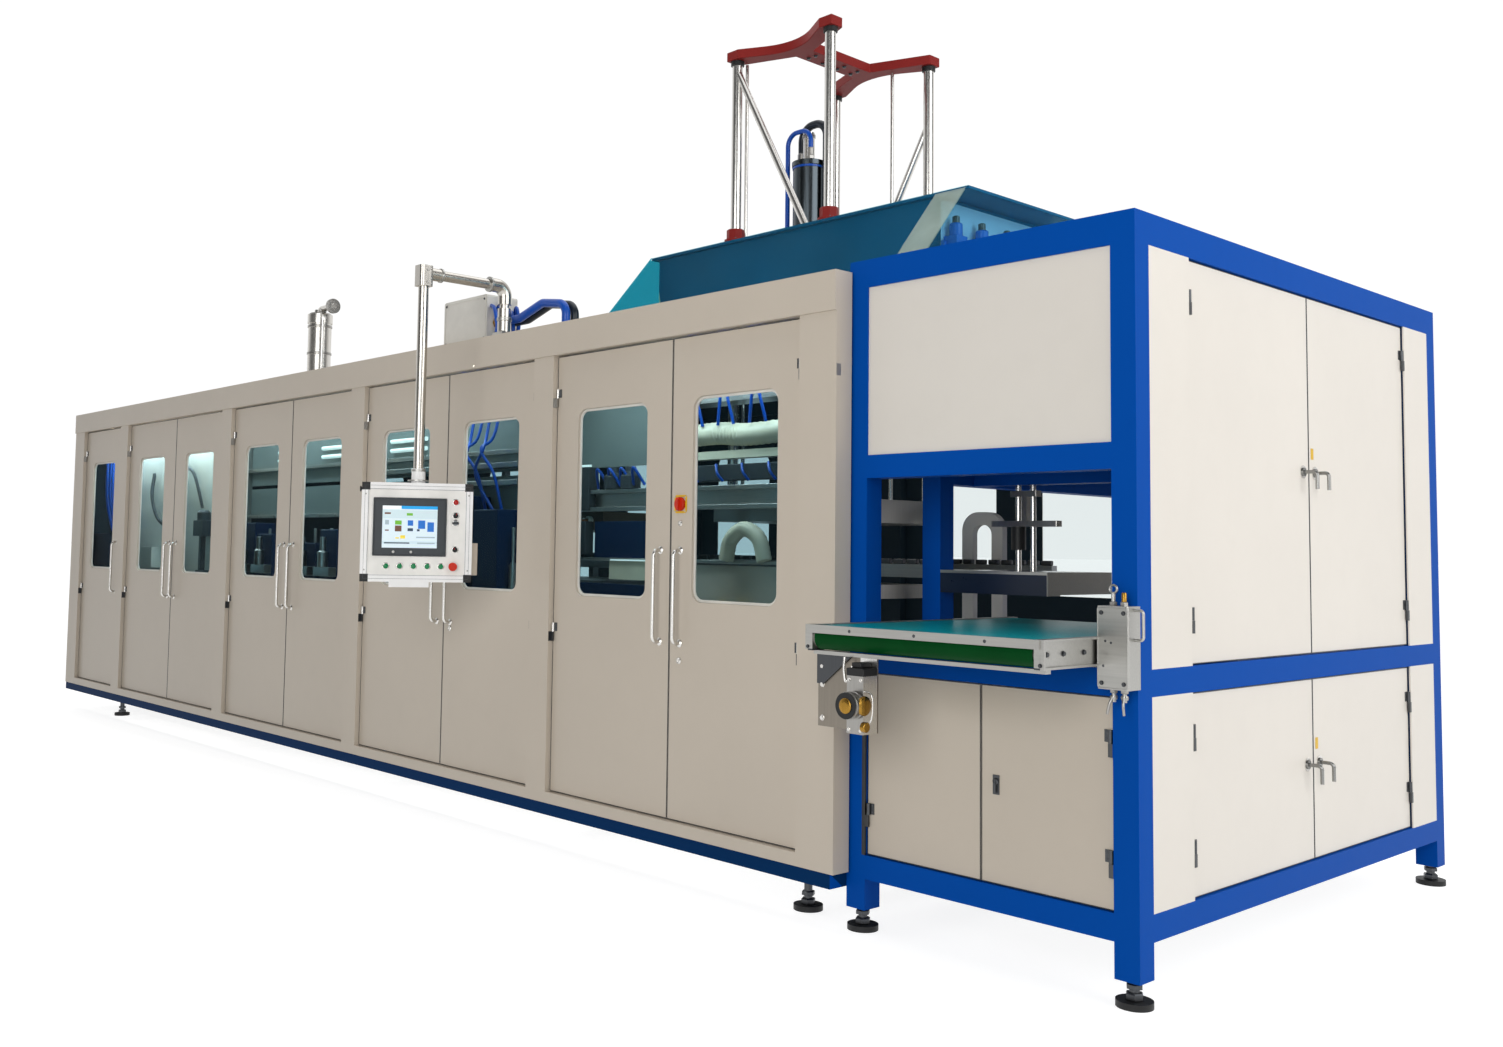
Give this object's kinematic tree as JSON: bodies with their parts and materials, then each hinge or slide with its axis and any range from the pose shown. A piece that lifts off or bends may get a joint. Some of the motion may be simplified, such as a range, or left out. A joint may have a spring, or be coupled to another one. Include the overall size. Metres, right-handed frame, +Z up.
{
  "type": "vacuum forming machine",
  "caption": "In-line vacuum forming machine with a long glazed cabinet, a press tower, a blue stacking station, an outfeed belt and a hanging control panel.",
  "frame": {"origin": "Floor level under the middle of the outline box", "axes": "+X runs along the machine from the sheet infeed to the stacking station, +Y to the rear, +Z up"},
  "size_m": [10.1, 3.5155, 4.128],
  "materials": {
    "cabinet_paint": "satin",
    "frame_blue": "satin",
    "panel_white": "satin",
    "guard_tint": "gloss",
    "teal_paint": "satin",
    "window_glass": "gloss",
    "red_paint": "satin",
    "bright_steel": "brushed",
    "chrome_rod": "polished",
    "aluminium_profile": "anodised",
    "belt_green": "matte",
    "black_rubber": "matte",
    "white_plastic": "matte",
    "screen_glass": "gloss",
    "button_green": "gloss",
    "stop_red": "gloss"
  },
  "bodies": {
    "machine": {"boom_base": "aluminium_profile", "cabinet_frame": "cabinet_paint", "cable_box": "white_plastic", "conveyor_belt": "belt_green", "conveyor_frame": "aluminium_profile", "cover_panels": "panel_white", "drive_cylinder": "aluminium_profile", "gear_motor": "aluminium_profile", "guide_bushes": "red_paint", "levelling_feet": "black_rubber", "machine_frame": "frame_blue", "press_crosshead": "teal_paint", "press_guard": "guard_tint", "rear_windows": "window_glass", "roof_filter": "bright_steel", "roof_hoses": "black_rubber", "service_box": "aluminium_profile", "sheet_line": "bright_steel", "stacker_rods": "chrome_rod"},
    "door_1": {"door_1": "cabinet_paint", "window_1": "window_glass"},
    "door_2": {"door_2": "cabinet_paint", "window_2": "window_glass"},
    "door_3": {"door_3": "cabinet_paint", "window_3": "window_glass"},
    "door_4": {"door_4": "cabinet_paint", "window_4": "window_glass"},
    "door_5": {"door_5": "cabinet_paint", "window_5": "window_glass"},
    "door_6": {"door_6": "cabinet_paint", "window_6": "window_glass"},
    "door_7": {"door_7": "cabinet_paint", "window_7": "window_glass"},
    "door_8": {"door_8": "cabinet_paint", "window_8": "window_glass"},
    "door_9": {"door_9": "cabinet_paint", "window_9": "window_glass"},
    "main_switch": {"main_switch": "stop_red"},
    "station_front_door_left": {"station_front_door_left": "panel_white"},
    "station_front_door_right": {"station_front_door_right": "panel_white"},
    "station_door_upper_near": {"station_door_upper_near": "panel_white"},
    "lever_upper_near": {"lever_upper_near": "bright_steel"},
    "station_door_upper_far": {"station_door_upper_far": "panel_white"},
    "lever_upper_far": {"lever_upper_far": "bright_steel"},
    "station_door_lower_near": {"station_door_lower_near": "panel_white"},
    "lever_lower_near": {"lever_lower_near": "bright_steel"},
    "station_door_lower_far": {"station_door_lower_far": "panel_white"},
    "lever_lower_far": {"lever_lower_far": "bright_steel"},
    "press_tower": {"guide_rods": "chrome_rod", "tie_plate": "red_paint", "upper_platen": "bright_steel"},
    "mould_table": {"mould_table": "bright_steel"},
    "stacker_carriage": {"stacker_carriage": "aluminium_profile"},
    "boom": {"boom": "aluminium_profile"},
    "control_panel": {"control_housing": "aluminium_profile", "control_screen": "screen_glass", "push_buttons": "button_green"},
    "emergency_stop": {"emergency_stop": "stop_red"},
    "front_roller": {"front_roller": "bright_steel"},
    "rear_roller": {"rear_roller": "bright_steel"}
  },
  "joints": [
    {"name": "door_1_hinge", "type": "hinge", "parent": "machine", "child": "door_1", "pos_m": [-4.813, -1.02918, 1.333], "axis": [0, 0, -1], "range_deg": [0, 90]},
    {"name": "door_2_hinge", "type": "hinge", "parent": "machine", "child": "door_2", "pos_m": [-3.773, -1.02918, 1.333], "axis": [0, 0, -1], "range_deg": [0, 90]},
    {"name": "door_3_hinge", "type": "hinge", "parent": "machine", "child": "door_3", "pos_m": [-1.962, -1.02918, 1.333], "axis": [0, 0, 1], "range_deg": [0, 90]},
    {"name": "door_4_hinge", "type": "hinge", "parent": "machine", "child": "door_4", "pos_m": [-1.778, -1.02918, 1.333], "axis": [0, 0, -1], "range_deg": [0, 90]},
    {"name": "door_5_hinge", "type": "hinge", "parent": "machine", "child": "door_5", "pos_m": [-0.082, -1.02918, 1.333], "axis": [0, 0, 1], "range_deg": [0, 90]},
    {"name": "door_6_hinge", "type": "hinge", "parent": "machine", "child": "door_6", "pos_m": [0.102, -1.02918, 1.333], "axis": [0, 0, -1], "range_deg": [0, 90]},
    {"name": "door_7_hinge", "type": "hinge", "parent": "machine", "child": "door_7", "pos_m": [1.793, -1.02918, 1.333], "axis": [0, 0, 1], "range_deg": [0, 35]},
    {"name": "door_8_hinge", "type": "hinge", "parent": "machine", "child": "door_8", "pos_m": [1.977, -1.02918, 1.333], "axis": [0, 0, -1], "range_deg": [0, 90]},
    {"name": "door_9_hinge", "type": "hinge", "parent": "machine", "child": "door_9", "pos_m": [3.593, -1.02918, 1.333], "axis": [0, 0, 1], "range_deg": [0, 90]},
    {"name": "main_switch_turn", "type": "hinge", "parent": "door_9", "child": "main_switch", "pos_m": [2.882, -1.02318, 1.65], "axis": [0, -1, 0], "range_deg": [0, 90]},
    {"name": "station_front_door_left_hinge", "type": "hinge", "parent": "machine", "child": "station_front_door_left", "pos_m": [3.882, -0.94118, 0.6415], "axis": [0, 0, -1], "range_deg": [0, 40]},
    {"name": "station_front_door_right_hinge", "type": "hinge", "parent": "machine", "child": "station_front_door_right", "pos_m": [4.898, -0.94118, 0.6415], "axis": [0, 0, 1], "range_deg": [0, 90]},
    {"name": "station_door_upper_near_hinge", "type": "hinge", "parent": "machine", "child": "station_door_upper_near", "pos_m": [4.994, -0.57018, 1.785], "axis": [0, 0, -1], "range_deg": [0, 90]},
    {"name": "lever_upper_near_turn", "type": "hinge", "parent": "station_door_upper_near", "child": "lever_upper_near", "pos_m": [4.996, 0.34382, 1.79], "axis": [-1, 0, 0], "range_deg": [0, 90]},
    {"name": "station_door_upper_far_hinge", "type": "hinge", "parent": "machine", "child": "station_door_upper_far", "pos_m": [4.994, 1.36582, 1.785], "axis": [0, 0, 1], "range_deg": [0, 90]},
    {"name": "lever_upper_far_turn", "type": "hinge", "parent": "station_door_upper_far", "child": "lever_upper_far", "pos_m": [4.996, 0.45182, 1.79], "axis": [1, 0, 0], "range_deg": [0, 90]},
    {"name": "station_door_lower_near_hinge", "type": "hinge", "parent": "machine", "child": "station_door_lower_near", "pos_m": [4.994, -0.57018, 0.6415], "axis": [0, 0, -1], "range_deg": [0, 90]},
    {"name": "lever_lower_near_turn", "type": "hinge", "parent": "station_door_lower_near", "child": "lever_lower_near", "pos_m": [4.996, 0.34382, 0.66], "axis": [-1, 0, 0], "range_deg": [0, 90]},
    {"name": "station_door_lower_far_hinge", "type": "hinge", "parent": "machine", "child": "station_door_lower_far", "pos_m": [4.994, 1.36582, 0.6415], "axis": [0, 0, 1], "range_deg": [0, 90]},
    {"name": "lever_lower_far_turn", "type": "hinge", "parent": "station_door_lower_far", "child": "lever_lower_far", "pos_m": [4.996, 0.45182, 0.66], "axis": [1, 0, 0], "range_deg": [0, 90]},
    {"name": "press_slide", "type": "slide", "parent": "machine", "child": "press_tower", "axis": [0, 0, 1], "range_m": [-0.18, 0]},
    {"name": "table_slide", "type": "slide", "parent": "machine", "child": "mould_table", "axis": [0, 0, 1], "range_m": [-0.12, 0.02]},
    {"name": "stacker_slide", "type": "slide", "parent": "machine", "child": "stacker_carriage", "axis": [0, 0, 1], "range_m": [-0.08, 0.02]},
    {"name": "boom_swing", "type": "hinge", "parent": "machine", "child": "boom", "pos_m": [1.47, -1.00918, 2.627], "axis": [0, 0, 1], "range_deg": [-20, 20]},
    {"name": "panel_swivel", "type": "hinge", "parent": "boom", "child": "control_panel", "pos_m": [1.47, -1.50218, 1.758], "axis": [0, 0, -1], "range_deg": [-45, 60]},
    {"name": "stop_press", "type": "slide", "parent": "control_panel", "child": "emergency_stop", "axis": [-0.8545, 0.5195, 0], "range_m": [0, 0.005], "stiffness_N_per_m": 900},
    {"name": "front_roller_spin", "type": "hinge", "parent": "machine", "child": "front_roller", "pos_m": [4.39, -1.30118, 1.139], "axis": [1, 0, 0], "continuous": true},
    {"name": "rear_roller_spin", "type": "hinge", "parent": "machine", "child": "rear_roller", "pos_m": [4.39, -0.09318, 1.139], "axis": [1, 0, 0], "continuous": true}
  ],
  "couplings": [
    {"joint": "rear_roller_spin", "follows": "front_roller_spin", "ratio": 1}
  ]
}
